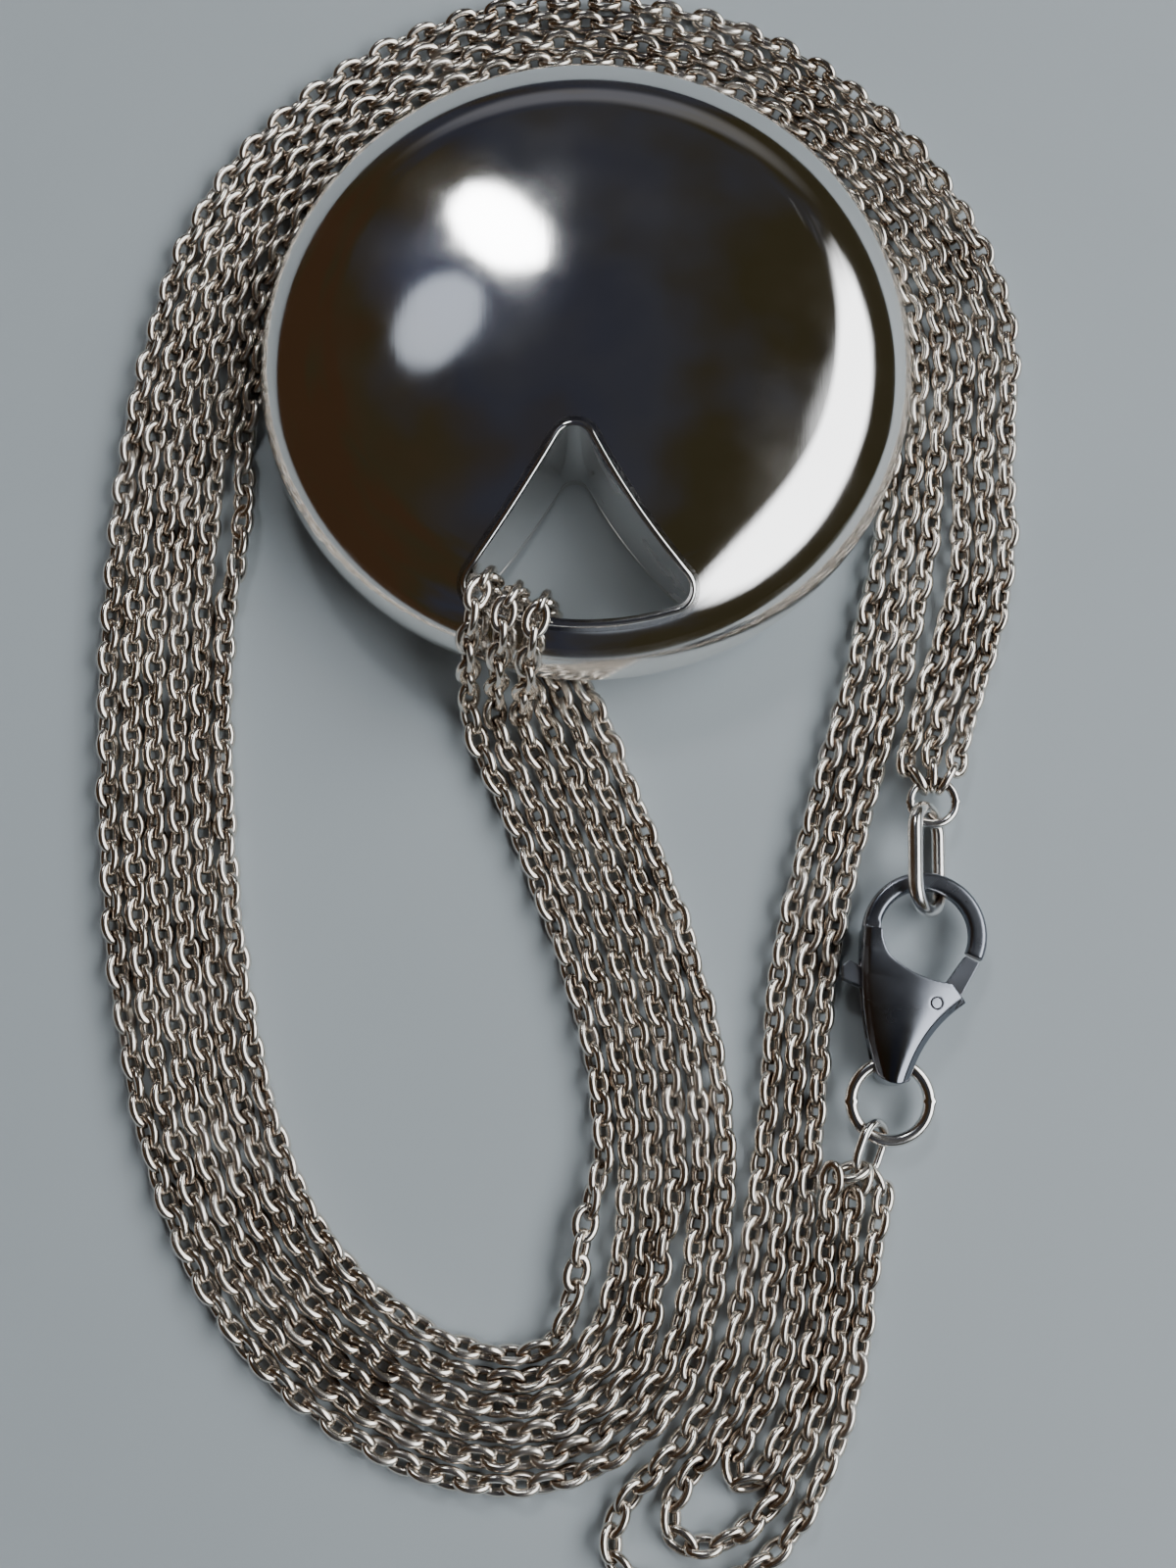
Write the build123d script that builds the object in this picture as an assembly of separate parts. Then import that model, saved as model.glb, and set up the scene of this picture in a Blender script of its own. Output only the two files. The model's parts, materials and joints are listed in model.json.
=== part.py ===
from build123d import *
import math
import os

# A pendant necklace lying on a table. Millimetres, +Z up, z = 0 is the table top.
# The origin is under the middle of the pendant. +Y points away from the clasp end.

# Pendant: a hollow puffed disc of two shells and a liner round its opening.
SHELL = 0.6
APEX_HEIGHT = 9.2
CROWN_ARC = 62.4
SHOULDER_START_RADIUS = 13.6
SHOULDER_ARC = 8.2
SEAM_SLOPE = 44.0
WALL_ARC = 3.27
LOWER_EDGE_ARC = 1.2
FLAT_RADIUS = 6.0
RIM_STRIP_RADIUS = 16.1

# Chain: three strands of cable chain that lie side by side.
STRAND_DIAMETER = 1.2
STRAND_SPACING = 1.3
HALF_SPACING = 1.5 * STRAND_SPACING
LYING = STRAND_DIAMETER / 2
ARC_SHARE = 0.45

# Links and rings.
LINK_LENGTH = 1.75
LINK_WIDTH = 1.4
LINK_WIRE = 0.37
END_RING_CENTRE = Vector(19.2, -25.0, 1.25)
END_RING_RADIUS = 1.25
END_RING_WIRE = 0.5
OVAL_CENTRE = Vector(18.7, -28.25, 1.6)
OVAL_LENGTH = 6.5
OVAL_WIDTH = 3.6
OVAL_WIRE = 0.8
OVAL_TURN = -3.0
OVAL_ROLL = 54.0
JUMP_RING_CENTRE = Vector(16.31, -41.37, 1.35)
JUMP_RING_RADIUS = 2.1
JUMP_RING_WIRE = 0.7
JUMP_RING_TILT = 7.0
CONNECTOR_CENTRE = Vector(15.2, -43.89, 1.15)
CONNECTOR_LENGTH = 3.4
CONNECTOR_WIDTH = 2.5
CONNECTOR_WIRE = 0.5
CONNECTOR_TURN = -20.5
CONNECTOR_ROLL = 50.0

# The end links hang on the end ring and on the connector link, three on each, fanned out.
# A strand's tube ends a little outside its end link.
LINK_PLAY = 0.05
END_GAP = 0.35
START_FAN = 32.0
FINISH_FAN = 33.0
FINISH_SPLAY = 54.0

# Lobster clasp, drawn in its own plane: the middle of the hook's hole is its origin, +Y to the hook.
CLASP_CENTRE = Vector(18.4, -32.4, 1.5)
CLASP_TURN = -11.5
CLASP_THICKNESS = 2.8
HOOK_THICKNESS = 1.0
HOOK_OUTER = 3.4
HOOK_HOLE = 2.4
HOOK_TIP_ANGLE = -14.0
LEVER_THICKNESS = 0.8
LEVER_SLOT = 1.1
PIVOT = Vector(1.1, -3.7, 0)
PIVOT_RADIUS = 0.3
PIVOT_CLEARANCE = 0.05
TAIL_HOLE = Vector(-0.4, -7.2, 0)
TAIL_HOLE_RADIUS = 0.65


def at(x, y, z=LYING, spread=1.0):
    """A point of a bundle's middle line, and how far its strands spread there."""
    return (x, y, z, spread)


# The two halves of the necklace lie together as one band of six strands, from the clasp side
# over the top of the pendant, down the left, along the bottom and up to the pendant's rim.
DOUBLE_BAND = [
    at(20.9, -4.4),
    at(21.9, 4.4),
    at(16.8, 14.4),
    at(8.0, 20.6),
    at(-2.8, 22.1),
    at(-13.1, 17.9),
    at(-20.2, 10.0),
    at(-22.9, -0.8),
    at(-23.9, -12.0),
    at(-23.5, -24.6),
    at(-22.3, -35.4),
    at(-19.7, -45.2),
    at(-15.6, -52.3),
    at(-9.2, -56.9),
    at(-2.7, -58.2),
    at(2.0, -55.5),
    at(3.9, -50.0),
    at(4.4, -42.0),
    at(2.5, -33.6),
    at(-0.6, -25.4),
]

# The first half comes from the end ring, on the outside of the band.
FIRST_LEAD = [
    at(19.9, -20.2, LYING, 1.05),
    at(21.6, -15.6),
    at(22.9, -10.6),
]
# It ends under the pendant's rim, where it turns up into the opening.
UNDER_THE_RIM = [
    at(-0.45, -20.7, LYING, 1.05),
]

# The second half starts inside the opening, goes up and over the rim and down to the table.
OVER_THE_RIM = [
    at(-3.5, -14.0, LYING, 1.3),
    at(-3.6, -14.3, 3.4, 1.26),
    at(-3.65, -14.4, 6.8, 1.24),
    at(-3.9, -14.95, 7.65, 1.27),
    at(-4.3, -15.9, 7.95, 1.3),
    at(-4.6, -17.1, 7.1, 1.3),
    at(-4.85, -18.8, 4.8, 1.25),
    at(-5.05, -19.2, 2.2, 1.15),
    at(-5.1, -20.6, 0.7, 1.05),
]
# It leaves the band on the inside and runs down beside it.
SECOND_TAIL = [
    at(18.4, -9.6),
    at(16.6, -17.0),
    at(13.9, -25.8),
    at(11.7, -34.6),
    at(11.1, -42.4),
    at(10.05, -49.2),
]
# There its strands fan out, turn back one inside the other and come together at the connector.
TURNS = [
    [
        (7.7, -54.4, LYING),
        (5.2, -58.9, LYING),
        (1.2, -62.4, LYING),
        (1.4, -65.6, LYING),
        (6.0, -66.6, LYING),
        (10.4, -64.2, LYING),
        (13.0, -59.4, LYING),
        (14.4, -54.4, LYING),
        (15.2, -49.4, LYING),
    ],
    [
        (9.15, -54.4, LYING),
        (6.9, -58.8, LYING),
        (4.0, -62.1, LYING),
        (5.0, -64.4, LYING),
        (8.6, -63.3, LYING),
        (11.6, -59.2, LYING),
        (13.1, -54.4, LYING),
        (13.9, -49.6, LYING),
    ],
    [
        (10.55, -54.4, LYING),
        (8.8, -57.9, LYING),
        (7.3, -60.2, LYING),
        (8.5, -61.3, LYING),
        (10.5, -58.3, LYING),
        (11.85, -54.2, LYING),
        (12.62, -49.8, LYING),
    ],
]


def plan(point):
    return (point[0], point[1])


def heading(route, k):
    """The route's headings into and out of point k, seen from above, as unit vectors."""
    here = plan(route[k])
    before = [p for p in route[:k] if plan(p) != here]
    after = [p for p in route[k + 1:] if plan(p) != here]
    into = Vector(here[0] - before[-1][0], here[1] - before[-1][1]) if before else None
    out = Vector(after[0][0] - here[0], after[0][1] - here[1]) if after else None
    return (into or out).normalized(), (out or into).normalized()


def beside(route, shift):
    """The route moved sideways, to the right of its heading when shift is positive."""
    moved = []
    for k, (x, y, z, spread) in enumerate(route):
        into, out = heading(route, k)
        along = (into + out).normalized()
        reach = shift * spread / along.dot(into)
        moved.append((x + along.Y * reach, y - along.X * reach, z, spread))
    return moved


def strand_route(number):
    """The points of one strand, from the end ring to the connector link."""
    shift = STRAND_SPACING * (number - 1)
    first = FIRST_LEAD + beside(DOUBLE_BAND, HALF_SPACING) + UNDER_THE_RIM
    second = OVER_THE_RIM + beside(DOUBLE_BAND[::-1], HALF_SPACING) + SECOND_TAIL
    middle = beside(first, shift) + beside(second, -shift)
    places = [Vector(x, y, z) for x, y, z, spread in middle]
    turn = [Vector(place) for place in TURNS[number]]
    return [strand_start(number)] + places + turn + [strand_finish(number)]


def hang_reach(held_wire):
    """How far a hung link's middle lies outside the middle of the wire that it hangs on."""
    return LINK_LENGTH / 2 - LINK_WIRE - held_wire / 2 - LINK_PLAY


def ring_direction(number):
    """Outwards from the end ring, level, towards the strand of that number."""
    angle = math.radians(START_FAN * (number - 1))
    return Vector(math.sin(angle), math.cos(angle), 0)


def ring_point(number):
    return END_RING_CENTRE + ring_direction(number) * END_RING_RADIUS


def strand_start(number):
    reach = hang_reach(END_RING_WIRE) + LINK_LENGTH / 2 + END_GAP
    return ring_point(number) + ring_direction(number) * reach


def connector_plane():
    return Plane(Pos(CONNECTOR_CENTRE) * Rot(0, 0, CONNECTOR_TURN) * Rot(0, CONNECTOR_ROLL, 0))


def connector_outward(number):
    """Outwards from the middle of the connector's lower bend, in the connector's own plane."""
    plane = connector_plane()
    angle = math.radians(FINISH_FAN * (1 - number))
    return plane.x_dir * math.sin(angle) - plane.y_dir * math.cos(angle)


def connector_point(number):
    plane = connector_plane()
    bend_centre = plane.origin - plane.y_dir * (CONNECTOR_LENGTH - CONNECTOR_WIDTH) / 2
    return bend_centre + connector_outward(number) * (CONNECTOR_WIDTH - CONNECTOR_WIRE) / 2


def connector_direction(number):
    """The level direction in which the strand of that number leaves the connector."""
    angle = math.radians(FINISH_SPLAY * (1 - number) + CONNECTOR_TURN)
    return Vector(math.sin(angle), -math.cos(angle), 0)


def strand_finish(number):
    reach = hang_reach(CONNECTOR_WIRE) + LINK_LENGTH / 2 + END_GAP
    return connector_point(number) + connector_direction(number) * reach


def arc_radii(points):
    """The largest arc that each corner's two runs allow."""
    radii = []
    for before, here, after in zip(points, points[1:], points[2:]):
        turn = (here - before).get_angle(after - here)
        run = min((here - before).length, (after - here).length)
        radii.append(ARC_SHARE * run / math.tan(math.radians(turn / 2)))
    return radii


def tube(points, diameter):
    radii = arc_radii(points)
    path = FilletPolyline(*points, radius=radii)
    section = Plane(origin=path @ 0, z_dir=path % 0) * Circle(diameter / 2)
    solid = sweep(section, path=path)
    print(f"tube: length {path.length:.1f} mm, smallest arc {min(radii):.1f} mm,",
          f"volume over section times length {solid.volume / (section.area * path.length):.3f}")
    print("  radii", " ".join(f"{radius:.1f}" for radius in radii))
    return solid


def wire_loop(length, width, wire):
    """An oval link of round wire in the XY plane, long along Y."""
    bend = (width - wire) / 2
    straight = (length - width) / 2
    right = Line((bend, -straight), (bend, straight))
    top = ThreePointArc((bend, straight), (0, straight + bend), (-bend, straight))
    left = Line((-bend, straight), (-bend, -straight))
    bottom = ThreePointArc((-bend, -straight), (0, -straight - bend), (bend, -straight))
    path = Wire([right, top, left, bottom])
    section = Plane(origin=(bend, 0, 0), z_dir=(0, 1, 0)) * Circle(wire / 2)
    return sweep(section, path=path)


def end_link(place, direction, wire_direction, held_wire):
    """A strand's last link, hung on a ring's wire at place and pointing along direction."""
    across = wire_direction.cross(direction).normalized()
    middle = place + direction * hang_reach(held_wire)
    link_plane = Plane(origin=middle, x_dir=across, z_dir=across.cross(direction))
    return link_plane * wire_loop(LINK_LENGTH, LINK_WIDTH, LINK_WIRE)


def first_end_links():
    links = []
    for number in range(3):
        direction = ring_direction(number)
        wire_direction = Vector(direction.Y, -direction.X, 0)
        links.append(end_link(ring_point(number), direction, wire_direction, END_RING_WIRE))
    return Compound(links)


def second_end_links():
    links = []
    normal = connector_plane().z_dir
    for number in range(3):
        wire_direction = normal.cross(connector_outward(number))
        direction = connector_direction(number)
        links.append(end_link(connector_point(number), direction, wire_direction, CONNECTOR_WIRE))
    return Compound(links)


def polar(centre, radius, angle):
    """The point at that angle, in degrees from +Z towards +X, on an arc in the XZ plane."""
    turn = math.radians(angle)
    return Vector(centre.X + radius * math.sin(turn), 0, centre.Z + radius * math.cos(turn))


def arc(centre, radius, start, end):
    middle = polar(centre, radius, (start + end) / 2)
    return ThreePointArc(polar(centre, radius, start), middle, polar(centre, radius, end))


# The profile's arcs touch smoothly: crown and shoulder in front, wall, lower edge and dish behind.
SHOULDER_START = math.degrees(math.asin(SHOULDER_START_RADIUS / CROWN_ARC))
CROWN_MIDDLE = Vector(0, 0, APEX_HEIGHT - CROWN_ARC)
SHOULDER_MIDDLE = polar(CROWN_MIDDLE, CROWN_ARC - SHOULDER_ARC, SHOULDER_START)
WALL_MIDDLE = polar(SHOULDER_MIDDLE, SHOULDER_ARC - WALL_ARC, SEAM_SLOPE)
LOWER_EDGE_MIDDLE = polar(WALL_MIDDLE, WALL_ARC - LOWER_EDGE_ARC, 90)
DISH_REACH = LOWER_EDGE_MIDDLE.X - FLAT_RADIUS
DISH_ARC = (DISH_REACH ** 2 + LOWER_EDGE_MIDDLE.Z ** 2 - LOWER_EDGE_ARC ** 2) / (
    2 * (LOWER_EDGE_MIDDLE.Z - LOWER_EDGE_ARC))
DISH_MIDDLE = Vector(FLAT_RADIUS, 0, DISH_ARC)
DISH_END = 180 - math.degrees(math.asin(DISH_REACH / (DISH_ARC - LOWER_EDGE_ARC)))


def front_profile(drop):
    """The front's curve from the middle to the seam, drop millimetres inside its outer face."""
    crown = arc(CROWN_MIDDLE, CROWN_ARC - drop, 0, SHOULDER_START)
    shoulder = arc(SHOULDER_MIDDLE, SHOULDER_ARC - drop, SHOULDER_START, SEAM_SLOPE)
    return [crown, shoulder]


def back_profile(drop):
    """The back's curve from the middle to the seam, drop millimetres inside its outer face."""
    flat = Line((0, 0, drop), (FLAT_RADIUS, 0, drop))
    dish = arc(DISH_MIDDLE, DISH_ARC - drop, 180, DISH_END)
    lower_edge = arc(LOWER_EDGE_MIDDLE, LOWER_EDGE_ARC - drop, DISH_END, 90)
    wall = arc(WALL_MIDDLE, WALL_ARC - drop, 90, SEAM_SLOPE)
    return [flat, dish, lower_edge, wall]


def seam_line():
    """The line across the shell's thickness where the front and the back meet."""
    outer = polar(WALL_MIDDLE, WALL_ARC, SEAM_SLOPE)
    inner = polar(WALL_MIDDLE, WALL_ARC - SHELL, SEAM_SLOPE)
    return Line(outer, inner)


def spun(curves, low, high):
    """A solid of revolution between curves that run out from the axis, closed along the axis."""
    closing = Line((0, 0, low), (0, 0, high))
    face = make_face(curves + [closing])
    return revolve(face, axis=Axis.Z)


def pendant_envelope():
    return spun(front_profile(0) + back_profile(0), 0, APEX_HEIGHT)


def front_shell_blank():
    curves = front_profile(0) + [seam_line()] + front_profile(SHELL)
    return spun(curves, APEX_HEIGHT - SHELL, APEX_HEIGHT)


def back_shell_blank():
    curves = back_profile(0) + [seam_line()] + back_profile(SHELL)
    return spun(curves, 0, SHELL)


def opening_outline(grow):
    """The opening seen from above, a bell with its base along the rim, made larger by grow."""
    apex = (-0.6 + 0.2 * grow, -4.9 + 2.2 * grow)
    left_corner = (-6.9 - 1.45 * grow, -14.55 - 0.4 * grow)
    right_corner = (6.3 + 1.5 * grow, -14.8 - 0.45 * grow)
    left = ThreePointArc(apex, (-3.55 - 0.84 * grow, -9.85 + 0.55 * grow), left_corner)
    base = ThreePointArc(left_corner, (0, -RIM_STRIP_RADIUS - grow), right_corner)
    right = ThreePointArc(right_corner, (2.35 + 0.82 * grow, -10.1 + 0.57 * grow), apex)
    face = make_face([left, base, right])
    return fillet(face.vertices(), 0.9 + grow)


def prism(face):
    return extrude(Pos(0, 0, -1) * face, APEX_HEIGHT + 2)


def pendant_parts():
    opening = prism(opening_outline(0))
    cut = prism(opening_outline(SHELL))
    front = front_shell_blank() - cut
    back = back_shell_blank() - cut
    liner = (cut - opening) & pendant_envelope()
    return front, back, liner


def clasp_place(shape):
    return Pos(CLASP_CENTRE) * Rot(0, 0, CLASP_TURN) * shape


def slab(face, thickness):
    """A plate of the given thickness, half above and half below the clasp's own plane."""
    return extrude(face, thickness / 2, both=True)


def hook_shape():
    """The hook: a ring open between its tip and the lever."""
    ring = Circle(HOOK_OUTER) - Circle(HOOK_HOLE)
    tip_angle = math.radians(HOOK_TIP_ANGLE)
    far = 6.0
    gap = make_face(Polyline(
        (0, 0),
        (far * math.cos(tip_angle), far * math.sin(tip_angle)),
        (far, -far),
        (0, -far),
        close=True,
    ))
    return fillet(slab(ring - gap, HOOK_THICKNESS).edges().filter_by(GeomType.CIRCLE), 0.3)


def body_outline():
    left = Spline((-3.38, -0.3), (-3.0, -3.0), (-1.35, -8.0))
    tail = ThreePointArc((-1.35, -8.0), (-0.45, -8.35), (0.45, -8.0))
    right = Spline((0.45, -8.0), (1.1, -5.6), (2.75, -3.3))
    shoulder = Line((2.75, -3.3), (1.75, -2.5))
    mouth = ThreePointArc((1.75, -2.5), (0, -2.4), (-1.75, -1.65))
    inner = Spline((-1.75, -1.65), (-2.2, -1.0), (-2.4, -0.3))
    top = Line((-2.4, -0.3), (-3.38, -0.3))
    return make_face([left, tail, right, shoulder, mouth, inner, top])


def lever_slot():
    """The slot that the lever turns in, open at the mouth and along the left side."""
    outline = make_face(Polyline(
        (3.4, -2.1),
        (2.0, -4.1),
        (0.9, -4.7),
        (-2.2, -6.3),
        (-6.0, -6.8),
        (-6.0, -1.95),
        (-1.6, -2.0),
        (0, -2.0),
        close=True,
    ))
    return slab(outline, LEVER_SLOT)


def hook_bridge():
    """A short bridge where the hook grows out of the body on the left."""
    return make_face(Polyline((-3.3, 0.2), (-2.45, 0.2), (-2.3, -0.9), (-3.2, -0.9), close=True))


def clasp_body():
    body = slab(body_outline(), CLASP_THICKNESS)
    long_edges = body.faces().filter_by(Axis.Z).edges().filter_by(lambda edge: edge.length > 4)
    body = chamfer(long_edges, 0.35)
    spine = slab(hook_bridge(), HOOK_THICKNESS)
    body = body + hook_shape() + spine
    body = body - lever_slot()
    pin_hole = Pos(PIVOT) * Cylinder(PIVOT_RADIUS, CLASP_THICKNESS + 2)
    tail_hole = Pos(TAIL_HOLE) * Rot(0, 90, 0) * Cylinder(TAIL_HOLE_RADIUS, 6)
    return body - pin_hole - tail_hole


def clasp_lever():
    gate = make_face(Polyline(
        (0.45, -3.1),
        (1.55, -2.45),
        (2.35, -0.75),
        (3.15, -1.0),
        (2.55, -2.75),
        (1.75, -4.1),
        (0.9, -4.3),
        (-3.0, -3.5),
        (-3.95, -3.3),
        (-4.1, -2.6),
        (-3.8, -2.2),
        (-2.9, -2.5),
        close=True,
    ))
    hole = Pos(PIVOT) * Circle(PIVOT_RADIUS + PIVOT_CLEARANCE)
    return slab(gate - hole, LEVER_THICKNESS)


def pivot_pin():
    return Pos(PIVOT) * Cylinder(PIVOT_RADIUS, CLASP_THICKNESS)


def lever_spring():
    """A bent leaf that pushes the lever's tail back up."""
    leaf = Polyline((-0.4, -5.15), (-1.8, -5.3), (-1.15, -4.15))
    face = trace(leaf, 0.14)
    return slab(face, 0.6)


def round_ring(radius, wire):
    return Torus(radius, wire / 2)


def end_ring():
    return Pos(END_RING_CENTRE) * round_ring(END_RING_RADIUS, END_RING_WIRE)


def oval_link():
    wire = wire_loop(OVAL_LENGTH, OVAL_WIDTH, OVAL_WIRE)
    return Pos(OVAL_CENTRE) * Rot(0, OVAL_ROLL, 0) * Rot(0, 0, OVAL_TURN) * wire


def jump_ring():
    ring = round_ring(JUMP_RING_RADIUS, JUMP_RING_WIRE)
    return Pos(JUMP_RING_CENTRE) * Rot(JUMP_RING_TILT, 0, 0) * ring


def connector_link():
    return connector_plane() * wire_loop(CONNECTOR_LENGTH, CONNECTOR_WIDTH, CONNECTOR_WIRE)


def build_nodes():
    front, back, liner = pendant_parts()
    nodes = {
        "pendant_front_shell": front,
        "pendant_back_shell": back,
        "opening_liner": liner,
        "strand_end_links_first": first_end_links(),
        "strand_end_links_second": second_end_links(),
        "end_ring": end_ring(),
        "oval_link": oval_link(),
        "clasp_body": clasp_place(clasp_body()),
        "clasp_lever": clasp_place(clasp_lever()),
        "lever_pivot_pin": clasp_place(pivot_pin()),
        "lever_spring": clasp_place(lever_spring()),
        "clasp_jump_ring": jump_ring(),
        "connector_link": connector_link(),
    }
    for number, name in enumerate(("inner", "middle", "outer")):
        nodes[f"chain_strand_{name}"] = tube(strand_route(number), STRAND_DIAMETER)
    return nodes


os.makedirs("parts", exist_ok=True)
for node_name, node_shape in build_nodes().items():
    export_step(node_shape, f"parts/{node_name}.step")
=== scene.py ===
import json
import math
import random

import bmesh
import bpy
from mathutils import Matrix, Vector


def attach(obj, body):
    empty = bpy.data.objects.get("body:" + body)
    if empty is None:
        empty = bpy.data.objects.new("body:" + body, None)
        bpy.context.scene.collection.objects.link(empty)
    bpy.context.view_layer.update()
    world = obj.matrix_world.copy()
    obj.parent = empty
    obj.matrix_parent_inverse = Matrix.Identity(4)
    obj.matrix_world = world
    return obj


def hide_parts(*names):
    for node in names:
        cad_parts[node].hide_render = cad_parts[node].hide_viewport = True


# A pendant necklace on a pale table. The frame's units are metres. Sizes here are in millimetres,
# and MM turns them into metres. +Z is up, and +Y points away from the clasp end.

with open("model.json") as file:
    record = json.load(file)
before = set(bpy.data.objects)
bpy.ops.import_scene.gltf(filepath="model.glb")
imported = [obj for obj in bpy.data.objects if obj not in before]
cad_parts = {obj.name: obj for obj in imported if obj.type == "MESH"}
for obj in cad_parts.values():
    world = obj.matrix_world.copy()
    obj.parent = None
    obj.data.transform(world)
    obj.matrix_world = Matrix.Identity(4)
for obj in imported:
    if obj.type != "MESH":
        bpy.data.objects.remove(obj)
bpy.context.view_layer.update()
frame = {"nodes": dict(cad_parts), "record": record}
chance = random.Random(7)
MM = 0.001

# Camera.
CAMERA_PLACE = (0.1, -46.6, 107.6)
CAMERA_TARGET = (0.1, -23.7, 0.0)
SENSOR_HEIGHT = 24.0
LENS = 30.0

# Chain.
STRAND_DIAMETER = 1.2
STRAND_SPACING = 1.3
HALF_SPACING = 1.5 * STRAND_SPACING
LYING = STRAND_DIAMETER / 2
LINK_LENGTH = 2.2
LINK_WIDTH = 1.52
LINK_WIRE = 0.48
LINK_DEPTH = 0.46
LINK_PITCH = 1.27
LINK_ROLL = 45.0

# How unevenly the links lie: degrees of roll and of swing, and millimetres of sway.
ROLL_CHANCE = 7.0
KINK_ROLL_CHANCE = 30.0
SWING_CHANCE = 3.5
SWAY_CHANCE = 0.025
UPRIGHT_PULL = 0.35

# Links pushed a little out of line: (strand, place, push sideways, reach in links each way).
KINKS = [
    ("inner", (1.0, -49.5), (-0.8, 0.2), 4.0),
    ("inner", (-19.4, -8.6), (0.6, -0.25), 4.0),
]
KINK_LIFT = 0.3

# Rings and links that join the chain to the clasp, as in the CAD model.
END_RING_CENTRE = Vector((19.2, -25.0, 1.25))
END_RING_RADIUS = 1.25
END_RING_WIRE = 0.5
OVAL_CENTRE = Vector((18.7, -28.25, 1.6))
OVAL_LENGTH = 6.5
OVAL_WIDTH = 3.6
OVAL_WIRE = 0.8
OVAL_TURN = -3.0
OVAL_ROLL = 54.0
JUMP_RING_CENTRE = Vector((16.31, -41.37, 1.35))
JUMP_RING_RADIUS = 2.1
JUMP_RING_WIRE = 0.7
JUMP_RING_TILT = 7.0
CONNECTOR_CENTRE = Vector((15.2, -43.89, 1.15))
CONNECTOR_LENGTH = 3.4
CONNECTOR_WIDTH = 2.5
CONNECTOR_WIRE = 0.5
CONNECTOR_TURN = -20.5
CONNECTOR_ROLL = 50.0
LINK_PLAY = 0.05
STRAND_START_REACH = 1.43
START_FAN = 32.0
FINISH_FAN = 33.0
FINISH_SPLAY = 54.0

# Pendant.
SHELL = 0.6
APEX_HEIGHT = 9.2
CROWN_ARC = 62.4
SHOULDER_START_RADIUS = 13.6
SHOULDER_ARC = 8.2
SEAM_SLOPE = 44.0
WALL_ARC = 3.27
LOWER_EDGE_ARC = 1.2
FLAT_RADIUS = 6.0
RIM_STRIP_RADIUS = 16.1
TURN_STEPS = 360
LIP_RADIUS = 0.2
LIP_SINK = 0.85
LINER_RECESS = 0.01
OPENING_FILLET = 0.9

# Clasp.
CLASP_CENTRE = Vector((18.4, -32.4, 1.5))
CLASP_TURN = -11.5
DOME_START = -1.6
DOME_BLEND = 1.2
CLASP_TAPER_LENGTH = 6.4

# Room.
TABLE_HALF_WIDTH = 1.5
TABLE_HEIGHT = -0.08
CARD_DISTANCE = 600


def mm(point):
    return Vector(point) * MM


def stand_in(piece, node, material):
    """Gives the piece its material, and lets it replace a CAD node and ride on that node's body."""
    piece.data.materials.clear()
    piece.data.materials.append(material)
    bodies = frame["record"]["behaviour"]["bodies"]
    body = next(name for name, nodes in bodies.items() if node in nodes)
    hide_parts(node)
    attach(piece, body)
    return piece


def add_camera():
    data = bpy.data.cameras.new("camera")
    data.sensor_fit = "VERTICAL"
    data.sensor_height = SENSOR_HEIGHT
    data.lens = LENS
    data.clip_start = 0.005
    data.clip_end = 20
    camera = bpy.data.objects.new("camera", data)
    camera.location = mm(CAMERA_PLACE)
    direction = mm(CAMERA_TARGET) - camera.location
    camera.rotation_euler = direction.to_track_quat("-Z", "Y").to_euler()
    bpy.context.scene.collection.objects.link(camera)
    bpy.context.scene.camera = camera


def at(x, y, z=LYING, spread=1.0):
    """A point of a bundle's middle line, and how far its strands spread there."""
    return (x, y, z, spread)


# The two halves of the necklace lie together as one band of six strands.
DOUBLE_BAND = [
    at(20.9, -4.4),
    at(21.9, 4.4),
    at(16.8, 14.4),
    at(8.0, 20.6),
    at(-2.8, 22.1),
    at(-13.1, 17.9),
    at(-20.2, 10.0),
    at(-22.9, -0.8),
    at(-23.9, -12.0),
    at(-23.5, -24.6),
    at(-22.3, -35.4),
    at(-19.7, -45.2),
    at(-15.6, -52.3),
    at(-9.2, -56.9),
    at(-2.7, -58.2),
    at(2.0, -55.5),
    at(3.9, -50.0),
    at(4.4, -42.0),
    at(2.5, -33.6),
    at(-0.6, -25.4),
]
FIRST_LEAD = [
    at(19.9, -20.2, LYING, 1.05),
    at(21.6, -15.6),
    at(22.9, -10.6),
]
UNDER_THE_RIM = [
    at(-0.45, -20.7, LYING, 1.05),
]
OVER_THE_RIM = [
    at(-3.5, -14.0, LYING, 1.3),
    at(-3.6, -14.3, 3.4, 1.26),
    at(-3.65, -14.4, 6.8, 1.24),
    at(-3.9, -14.95, 7.65, 1.27),
    at(-4.3, -15.9, 7.95, 1.3),
    at(-4.6, -17.1, 7.1, 1.3),
    at(-4.85, -18.8, 4.8, 1.25),
    at(-5.05, -19.2, 2.2, 1.15),
    at(-5.1, -20.6, 0.7, 1.05),
]
SECOND_TAIL = [
    at(18.4, -9.6),
    at(16.6, -17.0),
    at(13.9, -25.8),
    at(11.7, -34.6),
    at(11.1, -42.4),
    at(10.05, -49.2),
]
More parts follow.
